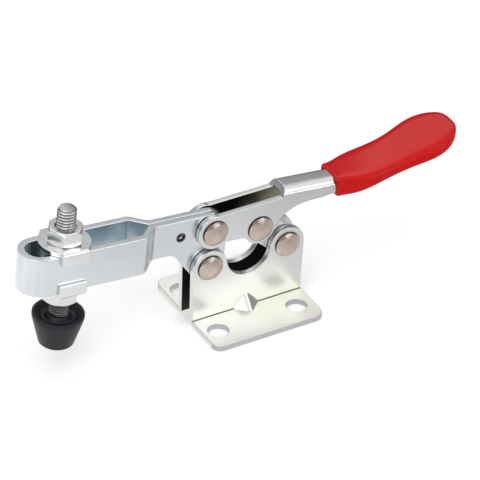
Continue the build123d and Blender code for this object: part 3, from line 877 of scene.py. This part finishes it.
# %% Rivet heads, placed by Geometry Nodes
# (radius, height) in mm, with the plate's face at 0
HEAD_OUTLINE = [(0, 1.6), (1.4, 1.47), (2.6, 1.17), (3.55, 0.80), (4.06, 0.50), (4.2, 0.25),
                (4.12, 0), (2.5, 0)]
HEAD_SOFT = 0.25  # radius of the corners, in mm
SHANK_RADIUS = 2.5 * MM
PLATE_FACE = WALL_INSIDE + SHEET


def rivet_half(shank):
    """A domed head on the plate's face, with its shank going in by a depth."""
    outline = [(r * MM, z * MM) for r, z in rounded(HEAD_OUTLINE, HEAD_SOFT)]
    mesh = turned(outline + [(SHANK_RADIUS, -shank), (0, -shank)], around=56)
    mesh.attributes.new("from_centre", "FLOAT", "POINT")
    reach = [math.hypot(v.co.x, v.co.y) for v in mesh.vertices]
    mesh.attributes["from_centre"].data.foreach_set("value", reach)
    return mesh


def placing_tree(head):
    """Copies the head to every point of the carrier mesh, along its normal."""
    tree = bpy.data.node_groups.new("placed rivet heads", "GeometryNodeTree")
    tree.interface.new_socket(name="Carrier", in_out="INPUT", socket_type="NodeSocketGeometry")
    size = inputs_of(tree, Size=1.0)
    out = add(tree, "GeometryNodeInputNamedAttribute", {"Name": "outwards"},
              data_type="FLOAT_VECTOR")
    facing = add(tree, "FunctionNodeAlignRotationToVector", {"Vector": out.outputs[0]}, axis="Z")
    shape = add(tree, "GeometryNodeObjectInfo", {"Object": head})
    placed = add(tree, "GeometryNodeInstanceOnPoints",
                 {"Points": size["Carrier"], "Instance": shape.outputs["Geometry"],
                  "Rotation": facing.outputs[0], "Scale": size["Size"]})
    finish_tree(tree, placed.outputs[0], nickel_rivet)
    return tree


def rivet_heads(name, pivots, shank):
    """Two heads for each pivot, on the outer faces of the walls, as one mesh."""
    head = new_piece("one head", rivet_half(shank), nickel_rivet)
    tree = placing_tree(head)
    seats = [(pivot.x, side * PLATE_FACE, pivot.z) for pivot in pivots for side in (-1, 1)]
    outwards = [side for pivot in pivots for side in (-1, 1)]
    carrier = bpy.data.meshes.new(name)
    carrier.from_pydata(seats, [], [])
    carrier.attributes.new("outwards", "FLOAT_VECTOR", "POINT")
    for row, side in zip(carrier.attributes["outwards"].data, outwards):
        row.vector = (0, side, 0)
    piece = in_scene(name, carrier)
    maker = piece.modifiers.new("maker", "NODES")
    maker.node_group = tree
    plain_mesh(piece)
    bpy.data.objects.remove(head)
    shade_smooth(piece.data)
    return piece


base_rivets = rivet_heads("base_rivet_heads", [FRONT_PIVOT, REAR_PIVOT], PLATE_FACE)
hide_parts("rivet_front", "rivet_rear")
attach(base_rivets, "base")
arm_rivet = rivet_heads("arm_rivet_heads", [ARM_PIVOT], PLATE_FACE)
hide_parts("rivet_arm")
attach(arm_rivet, "handle")
link_rivet = rivet_heads("link_rivet_heads", [LINK_PIVOT], SHEET)
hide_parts("rivet_link")
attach(link_rivet, "handle")
print("rivet heads:", len(base_rivets.data.polygons), "faces on the base")

# %% [markdown]
# ## The dipped grip
# The grip is the handle's flattened end under a thick skin of vinyl. A bevel on the
# packed grip would leave its flat sides flat, and dipped vinyl has none. So it is a row
# of cross-sections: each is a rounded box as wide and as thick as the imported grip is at
# that place.

# %% Helpers for the grip's cross-sections
def section_sizes(shape, x):
    """Half width, top and underside of a merged shape where it crosses x."""
    sliced = shape.copy()
    cut = bmesh.ops.bisect_plane(sliced, geom=sliced.verts[:] + sliced.edges[:] + sliced.faces[:],
                                 plane_co=(x, 0, 0), plane_no=(1, 0, 0))
    points = [v.co.copy() for v in cut["geom_cut"] if isinstance(v, bmesh.types.BMVert)]
    sliced.free()
    heights = [p.z for p in points]
    return max(abs(p.y) for p in points), max(heights), min(heights)


def rounded_box(x, half_width, top, under, power, around):
    """A closed superellipse section at x; a larger power is squarer."""
    points = []
    for step in range(around):
        angle = math.tau * (step + 0.5) / around
        c = math.cos(angle)
        s = math.sin(angle)
        y = half_width * math.copysign(abs(c) ** (2 / power), c)
        z = (top + under) / 2 + (top - under) / 2 * math.copysign(abs(s) ** (2 / power), s)
        points.append(Vector((x, y, z)))
    return points


def lofted(sections, end):
    """Closes a row of sections into a mesh: flat at the first, a point at the end."""
    shape = bmesh.new()
    rings = [[shape.verts.new(p) for p in section] for section in sections]
    for ring, following in zip(rings, rings[1:]):
        for step in range(len(ring)):
            after = (step + 1) % len(ring)
            shape.faces.new((ring[step], ring[after], following[after], following[step]))
    shape.faces.new(rings[0])
    tip = shape.verts.new(end)
    for step, vert in enumerate(rings[-1]):
        shape.faces.new((vert, rings[-1][(step + 1) % len(rings[-1])], tip))
    bmesh.ops.recalc_face_normals(shape, faces=shape.faces)
    return mesh_of(shape, "lofted")


print("section helpers ready")

# %% [markdown]
# ## The grip, from its mouth to its round end
# At the mouth the row of sections turns in over a soft lip and goes a little way in
# round the metal. Towards the end the steps get shorter, the width follows a circle, and
# the row closes in a point. More sections could make it as smooth, but one subdivision
# does so with fewer lines.

# %% Loft the grip from its mouth to its round end
GRIP_LOW, GRIP_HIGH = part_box("grip")
# (distance behind the mouth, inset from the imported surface) in mm
MOUTH_LIP = [(1.60, 1.30), (0.60, 1.00), (0.15, 0.85), (0.0, 0.60), (0.05, 0.30), (0.30, 0.02),
             (0.75, -0.08), (1.30, 0.0), (2.20, 0.02)]
BODY_STEP = 1.5  # between sections, in mm
LEAST_STEP = 0.5  # left free before the first section of the end, in mm
END_LENGTH = 11.1  # from the widest place to the tip, in mm
END_TURNS = (52, 45, 38, 31, 25, 19, 14, 9.5, 6, 3)  # degrees from the tip, per section
ROUND_SHARE = 0.4  # the part of that end that is a circle
FIRST_CUT = 0.3 * MM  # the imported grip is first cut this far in
SQUARE_MOUTH, SQUARE_MIDDLE, SQUARE_END = 6.5, 4.4, 4.0  # a larger power is squarer
MIDDLE_SHARE = 0.3  # where the middle is, from the mouth (0) to the end (1)


def squareness(share):
    """The section's power from the mouth (0) over the middle to the end (1)."""
    if share < MIDDLE_SHARE:
        return SQUARE_MOUTH + (SQUARE_MIDDLE - SQUARE_MOUTH) * share / MIDDLE_SHARE
    return SQUARE_MIDDLE + (SQUARE_END - SQUARE_MIDDLE) * (share - MIDDLE_SHARE) / (1 - MIDDLE_SHARE)


def grip_sections(around=56):
    """All sections of the grip, from inside the mouth to the tip."""
    packed = bmesh.new()
    packed.from_mesh(frame["nodes"]["grip"].data)
    bmesh.ops.remove_doubles(packed, verts=packed.verts, dist=FINE_MERGE)
    length = (GRIP_HIGH.x - GRIP_LOW.x) / MM
    body = MOUTH_LIP[-1][0] + BODY_STEP
    stations = list(MOUTH_LIP)
    ends = [END_LENGTH * (1 - math.cos(math.radians(turn))) for turn in END_TURNS]
    while body < length - ends[0] - LEAST_STEP:
        stations.append((body, 0.0))
        body += BODY_STEP
    stations += [(length - left, 0.0) for left in ends]
    widest = section_sizes(packed, GRIP_HIGH.x - END_LENGTH * MM)[0]
    sections = []
    for back, inset in stations:
        x = GRIP_LOW.x + back * MM
        width, top, under = section_sizes(packed, max(x, GRIP_LOW.x + FIRST_CUT))
        left = (length - back) / END_LENGTH
        if left < ROUND_SHARE:
            width = widest * math.sqrt(1 - (1 - left) ** 2)
        inset *= MM
        sections.append(rounded_box(x, width - inset, top - inset, under + inset,
                                    squareness(back / length), around))
    packed.free()
    return sections


sections = grip_sections()
end_height = sum(p.z for p in sections[-1]) / len(sections[-1])
grip_mesh = lofted(sections, (GRIP_HIGH.x, 0, end_height))
dipped_grip = new_piece("dipped_grip", grip_mesh, red_vinyl)
smooth = dipped_grip.modifiers.new("soft skin", "SUBSURF")
smooth.levels = 1
smooth.render_levels = 1
shade_smooth(grip_mesh)
plain_mesh(dipped_grip)
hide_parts("grip")
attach(dipped_grip, "handle")
print("grip:", len(sections), "sections,", len(dipped_grip.data.polygons), "faces")

# %% [markdown]
# ## Floor, lights and camera
# The clamp stands on a plain pale floor. A large soft light stands in front, to the left
# and above, with a weaker one and a low strip to the right and one behind. Bright metal
# shows its surroundings, so an all-white room would flatten it. The room is dark low
# down and pale above, and metal sees a floor that is lighter on one side.

# %% The floor
FLOOR_HALF = 4.0  # in metres
FLOOR_HEIGHT = -0.02 * MM  # under the base, so no faces coincide
FLOOR_LEFT, FLOOR_RIGHT = 1.05, 0.62  # brightness in reflections
LEFT_END, RIGHT_END = -70 * MM, 60 * MM  # where it has those two values
FLOOR_GLOW = 0.35


def stage_floor():
    """A wide white floor that keeps a soft shadow."""
    mesh = bpy.data.meshes.new("floor")
    corners = [(x * FLOOR_HALF, y * FLOOR_HALF, FLOOR_HEIGHT)
               for x, y in ((-1, -1), (1, -1), (1, 1), (-1, 1))]
    mesh.from_pydata(corners, [], [(0, 1, 2, 3)])
    material, tree, shader = new_material("floor_white")
    fill(tree, shader, {"Base Color": (0.80, 0.80, 0.80, 1), "Roughness": 0.9,
                        "Specular IOR Level": 0.0})
    glow = add(tree, "ShaderNodeEmission", {"Color": (1, 1, 1, 1), "Strength": FLOOR_GLOW})
    lit = add(tree, "ShaderNodeAddShader", {0: shader.outputs[0], 1: glow.outputs[0]})
    rays = add(tree, "ShaderNodeLightPath").outputs
    across = add(tree, "ShaderNodeMapRange",
                 {"Value": along_axis(tree, "X"), "From Min": LEFT_END, "From Max": RIGHT_END,
                  "To Min": FLOOR_LEFT, "To Max": FLOOR_RIGHT})
    uneven = calc(tree, "MULTIPLY", across.outputs["Result"], patches(tree, 16.0, 0.78, 1.12))
    mirrored = add(tree, "ShaderNodeEmission", {"Color": (1, 1, 1, 1), "Strength": uneven})
    seen_in_metal = add(tree, "ShaderNodeMixShader",
                        {"Fac": rays["Is Glossy Ray"], 1: shader.outputs[0], 2: mirrored.outputs[0]})
    chosen = add(tree, "ShaderNodeMixShader",
                 {"Fac": rays["Is Camera Ray"], 1: seen_in_metal.outputs[0], 2: lit.outputs[0]})
    tree.links.new(chosen.outputs[0], tree.nodes["Material Output"].inputs["Surface"])
    floor = new_piece("floor", mesh, material)
    return floor


floor = stage_floor()
print("floor at", round(FLOOR_HEIGHT / MM, 2), "mm")

# %% The room and the lamps
def room_light():
    """A room that is dark up to about 30 degrees and pale above; white behind the object."""
    world = bpy.data.worlds.new("pale room")
    world.use_nodes = True
    bpy.context.scene.world = world
    tree = world.node_tree
    tree.nodes.clear()
    way = add(tree, "ShaderNodeTexCoord").outputs["Generated"]
    up = add(tree, "ShaderNodeSeparateXYZ", {"Vector": way}).outputs["Z"]
    shade = ramp(tree, up, [(0.0, (0.30, 0.31, 0.33)), (0.20, (0.16, 0.16, 0.17)),
                            (0.46, (0.20, 0.20, 0.21)), (0.58, (0.72, 0.73, 0.74)),
                            (0.72, (0.95, 0.95, 0.95))])
    room = add(tree, "ShaderNodeBackground", {"Color": shade, "Strength": 0.95})
    white = add(tree, "ShaderNodeBackground", {"Color": (1, 1, 1, 1), "Strength": 1.0})
    seen = add(tree, "ShaderNodeLightPath").outputs["Is Camera Ray"]
    chosen = add(tree, "ShaderNodeMixShader",
                 {"Fac": seen, 1: room.outputs[0], 2: white.outputs[0]})
    add(tree, "ShaderNodeOutputWorld", {"Surface": chosen.outputs[0]})


def softbox(name, place, aim, width, height, power):
    """A rectangular area light that points at a place."""
    lamp = bpy.data.lights.new(name, "AREA")
    lamp.shape = "RECTANGLE"
    lamp.size = width
    lamp.size_y = height
    lamp.energy = power
    holder = in_scene(name, lamp)
    holder.location = place
    holder.rotation_euler = (Vector(aim) - Vector(place)).to_track_quat("-Z", "Y").to_euler()


room_light()
CENTRE = (Vector(CAD_BOX[0]) + Vector(CAD_BOX[1])) / 2
# name, place, aim, width, height and power, in metres and watts
softbox("key", (-0.65, -0.45, 0.75), CENTRE, 0.90, 0.90, 4.0)
softbox("fill", (0.46, -0.78, 0.64), CENTRE, 0.60, 0.50, 1.25)
softbox("back", (0.36, 0.64, 0.80), CENTRE, 0.80, 0.36, 0.8)
softbox("strip", (0.42, -0.92, 0.20), CENTRE, 0.50, 0.07, 0.6)

# %% [markdown]
# ## The camera
# A long lens from a good distance keeps the clamp's long sides nearly parallel. The
# camera could be turned by hand, but two angles, a small roll and a place to aim at say
# plainly where it stands.

# %% The camera
AZIMUTH = math.radians(30.11)
ELEVATION = math.radians(35.50)
ROLL = math.radians(1.445)
DISTANCE = 1.2051  # in metres
LENS = 298.4  # in mm
SENSOR = 36.0  # in mm
AIM_ON_FLOOR = Vector((1.52 * MM, 0, 0))
AIM_SIDEWAYS, AIM_UP = -0.857 * MM, 18.5 * MM  # then in the camera's own directions


def camera_axes():
    """The camera's own right, up and forward directions."""
    forward = Vector((math.sin(AZIMUTH) * math.cos(ELEVATION),
                      math.cos(AZIMUTH) * math.cos(ELEVATION), -math.sin(ELEVATION)))
    level = Vector((math.cos(AZIMUTH), -math.sin(AZIMUTH), 0))
    upright = level.cross(forward)
    right = level * math.cos(ROLL) + upright * math.sin(ROLL)
    up = upright * math.cos(ROLL) - level * math.sin(ROLL)
    return right, up, forward


right, up, forward = camera_axes()
AIM = AIM_ON_FLOOR + right * AIM_SIDEWAYS + up * AIM_UP
lens = bpy.data.cameras.new("camera")
lens.lens = LENS
lens.sensor_width = SENSOR
camera = in_scene("camera", lens)
turn = Matrix((right, up, -forward)).transposed().to_4x4()
camera.matrix_world = Matrix.Translation(AIM - forward * DISTANCE) @ turn
bpy.context.scene.camera = camera
bpy.context.scene.view_settings.view_transform = "Standard"
print("camera aims at", [round(v / MM, 2) for v in AIM], "mm")

# %% [markdown]
# ## The last loop over the pieces
# A loop goes over the objects and passes over the rubber tip, the grip and the floor.

# %% The last loop over the pieces
for piece in bpy.data.objects:
    if piece in (rubber_tip, dipped_grip, floor):
        continue
